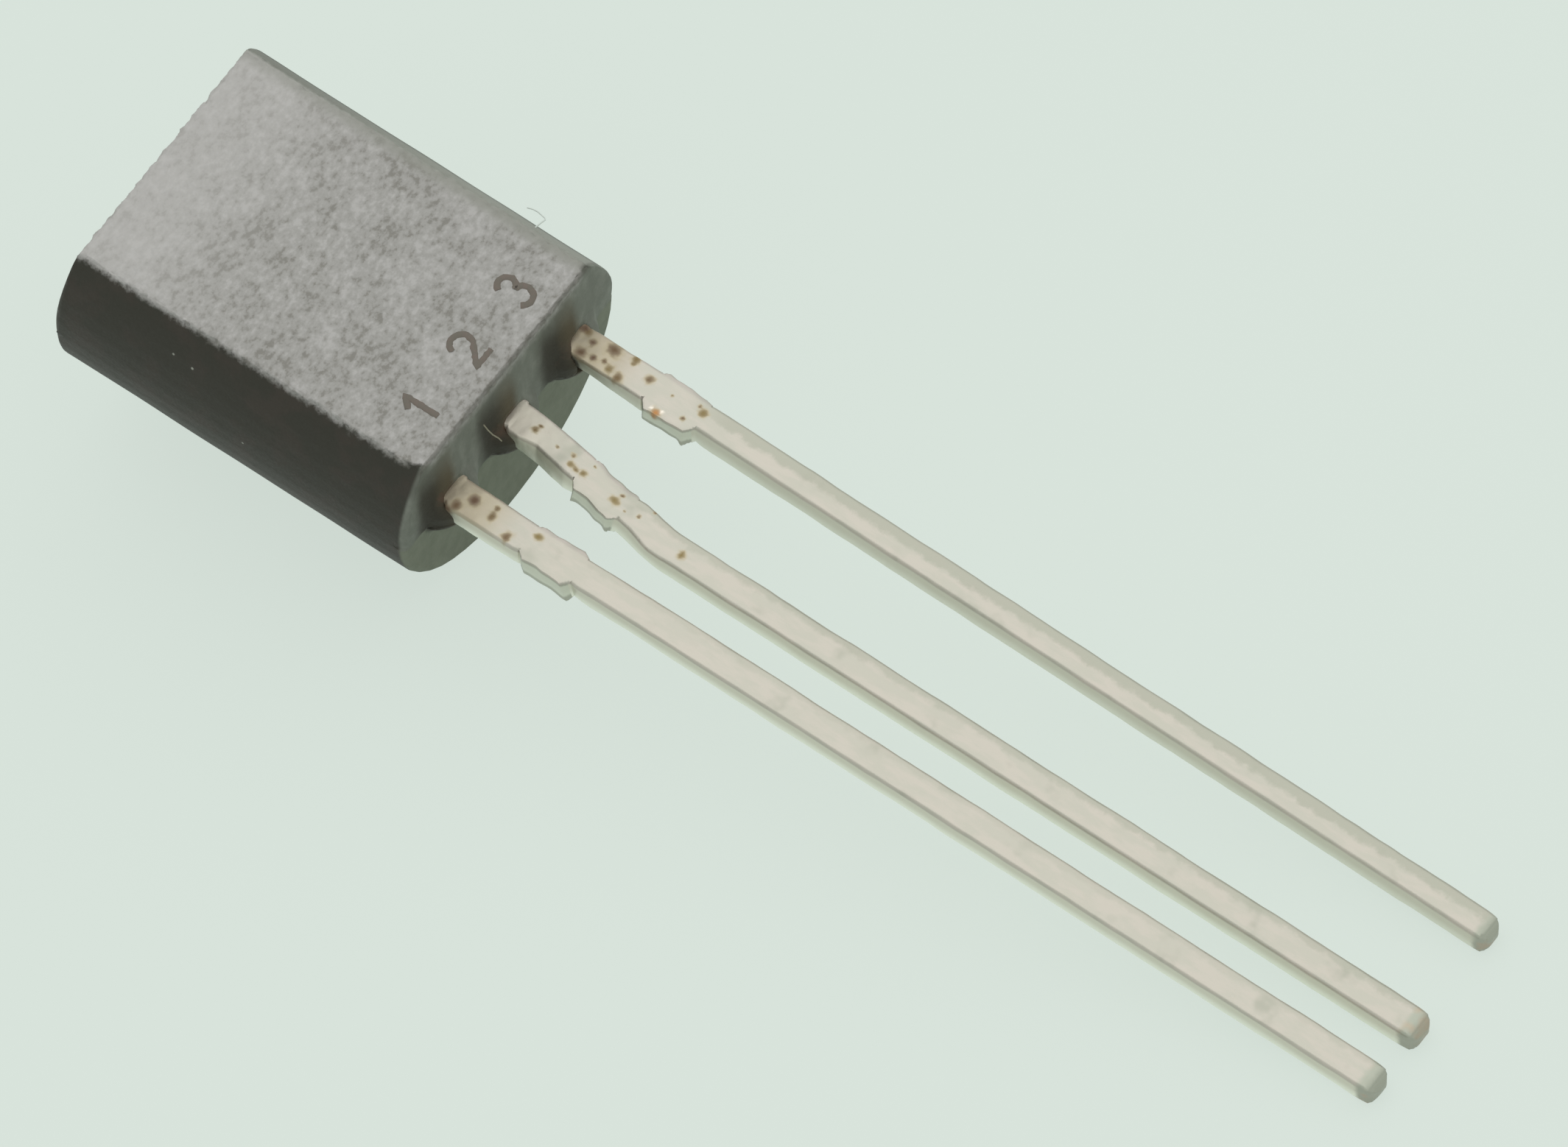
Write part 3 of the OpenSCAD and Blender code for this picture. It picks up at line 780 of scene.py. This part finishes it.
# The leads are lumpy tin, with ragged stubs where the dambar was cut away.
leads = {
    "halfWidth": 0.22,  # what the finish takes as the edge of a lead
    "acrossLimit": 1.2,
    "rootCell": 0.026, "rootCellsTo": 2.4,
    "cell": 0.07,
    "sideCell": 0.034, "sideRows": (-0.35, 0.28),
    "outside": 0.12,
    "lump": (0.008, 0.45),
    "ripple": (0.004, 0.16, 0.8, 2.0, 3),
    "worn": 0.004,
    "edgeBand": 0.15,
    "rollDepth": 0.03, "rollFrom": 0.04, "rollWidth": 0.2, "rollHeight": 0.2, "rollStart": 0.5,
    "rollGrain": 0.5, "rollShare": 0.7,
    "tipLength": 0.3, "tipDrop": 0.3, "tipNarrowing": 0.16,
    "softened": [(0.2, 14, 2), (1.1, 2.2, 3)],  # from x to x, and how many times
    "stub": (1.24, 2.07), "stubSide": 0.2, "stubFade": 0.12, "stubTear": (0.02, 1, 0.7, 2.0, 3),
    "tearGrain": 0.2,
    "stainSize": 1.15, "stainFray": 0.45, "stainGrain": 0.055,
    "noStain": -2.0,
    "burrReach": 0.06, "burrWidth": 0.06, "burrHeight": 0.15, "burrDirection": (0, -1, -0.6),
    "emitter_lead": {
        "middle": [(0, 1.27), (2.04, 1.27), (2.076, 1.2698), (13.91, 1.1273)],
        "nearTop": [  # x and how far this edge stands out there, past the stamped one
            (0.1, -0.01), (0.4, 0.0), (0.8, -0.002), (1.15, 0.01), (1.32, 0.012), (1.9, 0.0),
            (2.12, 0.012)],
        "farTop": [
            (0.2, 0.0), (1.27, 0.0), (1.36, -0.01), (1.9, -0.02), (2.1, -0.04), (2.4, -0.035),
            (6, -0.03)],
        "farBottom": [
            (0.2, -0.06), (0.6, -0.05), (1.25, -0.01), (1.4, -0.045), (2.0, -0.05), (2.15, -0.02)],
        "skew": (-0.05, 0.0),
        "burrs": [(1.91, 1.0)],
        # painted highlights: x, y and radius
        "glints": [(1.445, 1.01, 0.038), (1.585, 1.025, 0.042)],
        "stains": [  # x, y, radius, and how ochre: 0 is brown, 1 ochre, 2 bare copper
            (0.35, 1.33, 0.05, 0), (0.62, 1.40, 0.085, 0.15), (0.30, 1.13, 0.072, 0.1),
            (0.47, 1.16, 0.045, 0), (0.61, 1.2, 0.032, 0.2), (0.71, 1.146, 0.055, 0.9),
            (0.87, 1.11, 0.055, 0.4), (0.91, 1.45, 0.05, 0.7), (0.92, 1.38, 0.035, 0.7),
            (1.20, 1.31, 0.05, 0.3), (2.01, 1.32, 0.05, 0.9), (1.92, 1.38, 0.024, 0.3),
            (1.56, 1.29, 0.02, 0.6), (1.85, 1.10, 0.03, 0.2), (0.16, 1.44, 0.08, 0),
            (0.21, 1.42, 0.06, 0.5), (1.53, 0.975, 0.055, 2)],
    },
    "base_lead": {
        "middle": [
            (0, 0), (0.15, 0), (0.398, -0.0103), (0.645, -0.0411), (2.424, -0.3389), (2.671, -0.3697),
            (2.909, -0.38), (13.97, -0.4186)],
        "nearTop": [
            (0.1, -0.025), (1.0, -0.015), (1.25, 0.0), (1.43, -0.02), (1.6, -0.045), (1.9, -0.04),
            (2.15, 0.02), (2.5, 0.01)],
        "farTop": [
            (0.15, 0.03), (0.35, 0.03), (0.6, -0.04), (1.25, -0.03), (1.45, -0.06), (1.8, -0.05),
            (1.94, -0.02), (2.1, -0.02), (2.2, -0.02), (2.5, 0.035), (2.9, 0.01)],
        "farBottom": [
            (0.3, 0.005), (1.1, 0.01), (1.3, -0.06), (1.85, -0.07), (2.0, 0.0), (2.4, 0.01), (9, 0.015)],
        "skew": (-0.1, -0.06),
        "burrs": [(1.27, 0.7), (1.86, 0.9)],
        "stains": [
            (0.47, -0.05, 0.04, 0.5), (0.50, 0.04, 0.025, 0.4), (0.83, -0.09, 0.022, 0.3),
            (1.06, -0.07, 0.028, 0.5), (1.10, -0.20, 0.045, 1), (1.20, -0.23, 0.04, 0.7),
            (1.30, -0.21, 0.045, 0.9), (1.82, -0.29, 0.058, 1), (1.87, -0.14, 0.03, 0.3),
            (2.20, -0.29, 0.026, 0.2), (2.01, -0.34, 0.018, 0.4), (2.93, -0.41, 0.045, 1),
            (2.33, -0.14, 0.018, 0.2), (1.36, -0.03, 0.018, 0.6)],
    },
    "collector_lead": {
        "middle": [(0, -1.27), (2.04, -1.27), (13.97, -1.295)],
        "nearTop": [
            (0.1, -0.015), (1.2, -0.03), (1.36, -0.035), (1.9, -0.03), (2.1, -0.03), (3, -0.015),
            (8, -0.01)],
        "farTop": [
            (0.15, 0.035), (1.2, 0.035), (1.4, -0.02), (1.9, -0.015), (2.12, 0.04), (2.5, 0.03),
            (6, 0.02)],
        "farBottom": [(0.3, 0.02), (1.2, 0.02), (1.45, -0.02), (2.0, -0.02), (2.2, 0.01)],
        "skew": (0.0, 0.11),
        "stains": [
            (0.29, -1.42, 0.065, 0.2), (0.44, -1.26, 0.07, 0), (0.73, -1.19, 0.04, 0.4),
            (0.74, -1.31, 0.045, 0.4), (1.04, -1.42, 0.052, 0.3), (1.36, -1.21, 0.052, 1),
            (0.22, -1.52, 0.05, 0)],
    },
}


def middleAt(path, x):
    # the height of a row of points, that far out: the first and the last hold on beyond their ends
    for (fromX, fromY), (toX, toY) in zip(path, path[1:]):
        if x <= toX:
            return fromY + (toY - fromY) * max(0.0, x - fromX) / (toX - fromX)
    return path[-1][1]


def edgeShift(own, spot, height):
    # how far a spot moves out with the edge of its side, at a height from 0 to 1
    band = leads["edgeBand"]
    if spot.y > 0:
        return middleAt(own["nearTop"], spot.x) * min(1.0, spot.y / band)
    top, bottom = middleAt(own["farTop"], spot.x), middleAt(own["farBottom"], spot.x)
    return -(bottom + (top - bottom) * height) * min(1.0, -spot.y / band)


def markVert(vert, own, middle, layers):
    # what the finish reads: how far across its lead a spot is, its stain and its glint, a painted
    # highlight
    spot, limit = vert.co, leads["acrossLimit"]
    vert[layers["across"]] = max(-limit, min(limit, spot.y / leads["halfWidth"]))
    vert[layers["stain"]] = leads["noStain"]
    if spot.x <= -0.2 or spot.z <= 0:
        return
    for stainX, stainY, radius, ochre in own["stains"]:
        away = math.hypot(spot.x - stainX, spot.y + middle - stainY) / leads["stainSize"]
        fray = noise.noise(Vector((spot.x, spot.y + middle, 3.7)) / leads["stainGrain"])
        away *= 1 + leads["stainFray"] * fray
        if 1 - away / radius > vert[layers["stain"]]:
            vert[layers["stain"]] = 1 - away / radius
            vert[layers["ochre"]] = ochre
    for glintX, glintY, radius in own.get("glints", []):
        away = math.hypot(spot.x - glintX, spot.y + middle - glintY)
        vert[layers["glint"]] = max(vert[layers["glint"]], 1 - away / radius)


def lumpySpot(vert, spot, middle):
    grainAt = Vector((spot.x, spot.y + middle, spot.z))
    lumps = uneven(grainAt, leads["lump"]) + uneven(grainAt, leads["ripple"])
    return spot + vert.normal * (lumps - leads["worn"])


def rolledDown(spot, middle):
    # how much lower the top is along the rolled edge, on the emitter's side
    out = spot.x - leads["rollStart"]
    if spot.z <= 0 or out <= 0:
        return 0.0
    roll = max(0.0, spot.y - leads["rollFrom"]) / leads["rollWidth"]
    share = leads["rollShare"] + noise.noise(Vector((spot.x / leads["rollGrain"], middle, 0)))
    return leads["rollDepth"] * min(1.0, out) * roll * roll * share * spot.z / leads["rollHeight"]


def stubTear(own, spot, middle, height):
    # stubs: torn edges, the lower one further out along the lead
    start, end = leads["stub"]
    if not start < spot.x < end or abs(spot.y) <= leads["stubSide"]:
        return Vector()
    within = limited(min(spot.x - start, end - spot.x) / leads["stubFade"])
    grainAt = Vector((spot.x / leads["tearGrain"], middle * 3, height * 0.6))
    tear = uneven(grainAt, leads["stubTear"])
    early, late = own["skew"]
    skew = (early + (late - early) * (spot.x - start) / (end - start)) * (1 - height)
    side = math.copysign(1, spot.y)
    return Vector((skew * within if side < 0 else 0, side * tear * within, 0))


def burrShift(own, spot, x):
    # a burr at each lower corner of a cut
    shift = Vector()
    if spot.y < -leads["stubSide"] and spot.z < 0:
        for burrAt, reach in own.get("burrs", []):
            close = max(0.0, 1 - abs(x - burrAt) / leads["burrWidth"])
            sharp = close * close * min(1.0, -spot.z / leads["burrHeight"]) * reach
            shift += Vector(leads["burrDirection"]) * leads["burrReach"] * sharp
    return shift


def cutLead(mesh, tip, bottom):
    root, cell = leads["rootCellsTo"], leads["sideCell"]
    rows = [(1, steps(*leads["sideRows"], cell)), (2, steps(bottom, -bottom, cell)),
            (0, steps(leads["outside"], root, leads["rootCell"])), (0, steps(root, tip, leads["cell"]))]
    for axis, places in rows:
        for place in places:
            cutAt(mesh, [*mesh.verts, *mesh.edges, *mesh.faces], axis, place)
    bmesh.ops.remove_doubles(mesh, verts=mesh.verts, dist=0.003)
    mesh.normal_update()


def tinnedPiece(nodeName):
    own = leads[nodeName]
    mesh = copyOf(nodeName)
    for vert in mesh.verts:
        vert.co.y -= middleAt(own["middle"], vert.co.x)  # straightened while it is worked
    tip = max(v.co.x for v in mesh.verts)
    bottom = min(v.co.z for v in mesh.verts)
    cutLead(mesh, tip, bottom)
    layers = {mark: mesh.verts.layers.float.new(mark) for mark in ("across", "stain", "ochre", "glint")}
    moved = {}
    for vert in mesh.verts:
        spot = vert.co.copy()
        middle = middleAt(own["middle"], spot.x)
        markVert(vert, own, middle, layers)
        if spot.x < leads["outside"] + 0.05:
            continue
        height = (spot.z - bottom) / (-2 * bottom)
        place = lumpySpot(vert, spot, middle)
        place.z -= rolledDown(spot, middle)
        place.y += edgeShift(own, spot, height)
        place += stubTear(own, spot, middle, height)
        place += burrShift(own, spot, place.x)
        # the cut tip is lower on top and narrower
        near = max(0.0, (spot.x - tip + leads["tipLength"]) / leads["tipLength"])
        if spot.z > 0:
            place.z *= 1 - leads["tipDrop"] * near * near
        place.y *= 1 - leads["tipNarrowing"] * near ** 3
        moved[vert] = place
    for vert, place in moved.items():
        vert.co = place
    for start, end, rounds in leads["softened"]:
        soft = [v for v in moved if start < v.co.x < end]
        for _ in range(rounds):
            bmesh.ops.smooth_vert(mesh, verts=soft, factor=0.5, use_axis_y=True, use_axis_z=True)
    for vert in mesh.verts:
        vert.co.y += middleAt(own["middle"], vert.co.x)
    print(nodeName, len(mesh.faces), "faces")
    piece = finished(mesh, nodeName.replace("_", "_tinned_"), "tinned_lead", 30)
    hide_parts(nodeName)


for nodeName in ("emitter_lead", "base_lead", "collector_lead"):
    tinnedPiece(nodeName)


def tubeMesh(runs, radius, resolution):
    # a round wire along each run of points
    curve = bpy.data.curves.new("tube", "CURVE")
    curve.dimensions = "3D"
    curve.bevel_depth = radius
    curve.bevel_resolution = resolution
    curve.use_fill_caps = True
    for run in runs:
        line = curve.splines.new("POLY")
        line.points.add(len(run) - 1)
        for point, place in zip(line.points, run):
            point.co = (*place, 1)
    holder = bpy.data.objects.new("tube", curve)
    data = bpy.data.meshes.new_from_object(holder)
    bpy.data.objects.remove(holder)
    mesh = bmesh.new()
    mesh.from_mesh(data)
    bmesh.ops.remove_doubles(mesh, verts=mesh.verts, dist=1e-4)
    bmesh.ops.recalc_face_normals(mesh, faces=mesh.faces)
    return mesh


# The lead numbers are burnt into the flat.
numbers = {
    "height": 0.5,
    "width": 0.32,
    "stroke": 0.084,
    "roundness": 3,
    "relief": 0.009,
    "fray": (0.016, 1), "frayGrain": 0.05, "frayStep": 0.06,
    "acrossShift": (5, 2, 8),
    "tone": tone(104, 98, 88), "toneWarm": tone(112, 101, 92),
    "cloud": (9, 4, 0.65),
    "warmPatch": (0.4, 0.65),
    "roughness": (0.5, 0.3),  # everywhere, in the cloud
    "bump": (0.4, 0.01),
    "places": {"1": (-0.53, -1.02), "2": (-0.53, -0.05), "3": (-0.53, 0.94)},
}


def arc(centreX, centreY, radius, start, end, count=14):
    angles = [math.radians(start + (end - start) * i / count) for i in range(count + 1)]
    return [(centreX + radius * math.cos(a), centreY + radius * math.sin(a)) for a in angles]


# the runs of the burning spot for each digit, x to the right and y up, as a share of its height
strokes = {
    "1": [[(0.08, 0.72), (0.34, 0.98), (0.34, 0.0)]],
    "2": [[*arc(0.32, 0.69, 0.29, 165, -38), (0.04, 0.02), (0.64, 0.02)]],
    "3": [arc(0.3, 0.74, 0.24, 155, -82), arc(0.3, 0.27, 0.27, 86, -155)],
}


def evenly(points):
    # more points along a run, so that it can fray
    even = [points[0]]
    for start, end in zip(points, points[1:]):
        count = max(1, round(math.dist(start, end) / numbers["frayStep"]))
        even += [tuple(a + (b - a) * i / count for a, b in zip(start, end)) for i in range(1, count + 1)]
    return even


def numberFinish():
    material, tree, shader = newMaterial("burnt number")
    cloud = grain(leadCoords(tree)[0], *numbers["cloud"])
    burnt = blend(rise(cloud, numbers["warmPatch"]), numbers["tone"], numbers["toneWarm"])
    everywhere, inCloud = numbers["roughness"]
    dress(shader, burnt, plus(times(cloud, inCloud), everywhere))
    bumped(shader, *numbers["bump"], cloud)
    return material


def leadNumber(digit, material):
    height = numbers["height"]
    runs = [[(right * height, up * height, 0) for right, up in evenly(run)] for run in strokes[digit]]
    mesh = tubeMesh(runs, numbers["stroke"] / 2, numbers["roundness"])
    fromEnd, sideways = numbers["places"][digit]
    right, down = sideways - numbers["width"] / 2, fromEnd + height / 2
    flatten = numbers["relief"] / (numbers["stroke"] / 2)
    for vert in mesh.verts:
        spot = vert.co
        frayed = Vector((spot.x + right, spot.y, 0)) / numbers["frayGrain"]
        spot.x += uneven(frayed, numbers["fray"])
        spot.y += uneven(frayed + Vector(numbers["acrossShift"]), numbers["fray"])
        vert.co = (down - spot.y, right + spot.x, package["flatHeight"] + spot.z * flatten)
    finished(mesh, "lead_number_" + digit, "moulding_compound", material=material)


burnt = numberFinish()
for digit in numbers["places"]:
    leadNumber(digit, burnt)
print("lead numbers made:", len(numbers["places"]))

# One hair of lint stands on the dome of the base lead, and one clings to the side.
lint = {
    "lint_hair": {
        "thickness": 0.009,
        "tone": tone(146, 141, 120),
        "run": [
            (0.11, -0.61, 0.8), (0.15, -0.585, 0.67), (0.19, -0.545, 0.53), (0.23, -0.48, 0.38),
            (0.25, -0.45, 0.28)],
    },
    "side_lint_hair": {
        "thickness": 0.01,
        "tone": tone(222, 232, 224),
        "run": [
            (-1.15, 2.04, 1.0), (-1.08, 2.065, 1.0), (-1.0, 2.07, 1.0), (-0.89, 2.05, 1.0),
            (-0.87, 2.03, 1.0), (-0.89, 1.96, 1.0), (-0.91, 1.86, 1.0)],
    },
}
lintLook = {"roundness": 2, "grain": (6, 2), "duller": 0.2, "roughness": 0.7}


def lintHair(name):
    hair = lint[name]
    mesh = tubeMesh([hair["run"]], hair["thickness"], lintLook["roundness"])
    material, tree, shader = newMaterial(name.replace("_", " "))
    shade = times(grain(leadCoords(tree)[0], *lintLook["grain"]), lintLook["duller"])
    dress(shader, blend(shade, hair["tone"], resin["endPale"]), lintLook["roughness"])
    finished(mesh, name, "moulding_compound", material=material)


for name in lint:
    lintHair(name)
print("lint hairs made:", len(lint))

studio = {
    "paper": tone(218, 229, 221), "paperWidth": 3.0, "paperGlow": 0.84,
    "skyStrength": 0.62,
    "lampPower": 0.56, "lampWidth": 0.54, "lampDistance": 0.3, "lampDirection": (-0.27, 0.37, 0.89),
}


def seenBy(tree, *rays):
    # 1 for the kinds of ray named, 0 for the rest
    path = addNode(tree, "LightPath")
    seen = path.outputs[rays[0]]
    for ray in rays[1:]:
        seen = maths("MAXIMUM", seen, path.outputs[ray])
    return seen


def paperFloor():
    mesh = bmesh.new()
    bmesh.ops.create_grid(mesh, x_segments=1, y_segments=1, size=studio["paperWidth"] / 2)
    data = bpy.data.meshes.new("paper floor")
    mesh.to_mesh(data)
    mesh.free()
    floor = bpy.data.objects.new("paper_floor", data)
    scene.collection.objects.link(floor)
    material, tree, shader = newMaterial("pale paper")
    tree.nodes.remove(shader)
    seen = times(seenBy(tree, "Is Camera Ray", "Is Glossy Ray"), studio["paperGlow"])
    paper = addNode(tree, "BsdfDiffuse", {"Color": studio["paper"]})
    glow = addNode(tree, "Emission", {"Color": studio["paper"], "Strength": 1.0})
    mixed = joined("MixShader", {0: seen, 1: paper.outputs[0], 2: glow.outputs[0]})
    plug(tree.nodes["Material Output"].inputs["Surface"], mixed.outputs[0])
    data.materials.append(material)


def sky():
    world = bpy.data.worlds.new("studio")
    scene.world = world
    world.use_nodes = True
    tree = world.node_tree
    seen = seenBy(tree, "Is Camera Ray", "Is Glossy Ray", "Is Transmission Ray")
    fill = addNode(tree, "Background", {"Color": (1, 1, 1, 1), "Strength": studio["skyStrength"]})
    backdrop = addNode(tree, "Background", {"Color": studio["paper"], "Strength": 1.0})
    mixed = joined("MixShader", {0: seen, 1: fill.outputs[0], 2: backdrop.outputs[0]})
    plug(tree.nodes["World Output"].inputs["Surface"], mixed.outputs[0])


def softbox():
    lamp = bpy.data.lights.new("softbox", "AREA")
    lamp.shape = "SQUARE"
    lamp.size = studio["lampWidth"]
    lamp.energy = studio["lampPower"]
    box = bpy.data.objects.new("softbox", lamp)
    scene.collection.objects.link(box)
    direction = (leadTurn @ Vector(studio["lampDirection"])).normalized()
    box.location = direction * studio["lampDistance"]
    box.rotation_mode = "QUATERNION"
    box.rotation_quaternion = direction.to_track_quat("Z", "Y")


paperFloor()
sky()
softbox()

shot = {
    "azimuth": 36.1,
    "elevation": 63.05,
    "distance": 300,
    "roll": 0.6,
    "aim": (3.761, 0.557, -0.9),
    "widthAtAim": 19.163,
    "sensor": 36,
    "clip": (0.01, 10),
}


def placeCamera():
    azimuth, elevation = math.radians(shot["azimuth"]), math.radians(shot["elevation"])
    flatReach = math.cos(elevation)
    back = Vector((math.sin(azimuth) * flatReach, -math.cos(azimuth) * flatReach, math.sin(elevation)))
    right = Vector((math.cos(azimuth), math.sin(azimuth), 0))
    facing = Matrix((right, back.cross(right), back)).transposed()
    facing = facing @ Matrix.Rotation(math.radians(-shot["roll"]), 3, "Z")
    lens = bpy.data.cameras.new("camera")
    lens.sensor_width = shot["sensor"]
    lens.lens = shot["sensor"] * shot["distance"] / shot["widthAtAim"]
    lens.clip_start, lens.clip_end = shot["clip"]
    camera = bpy.data.objects.new("camera", lens)
    scene.collection.objects.link(camera)
    place = Vector(shot["aim"]) + back * shot["distance"]
    camera.matrix_world = Matrix.LocRotScale(leadFrame @ place, leadTurn @ facing, None)
    scene.camera = camera


placeCamera()
scene.view_settings.view_transform = "Standard"
print("floor, sky, lamp and camera placed")

bpy.context.view_layer.update()
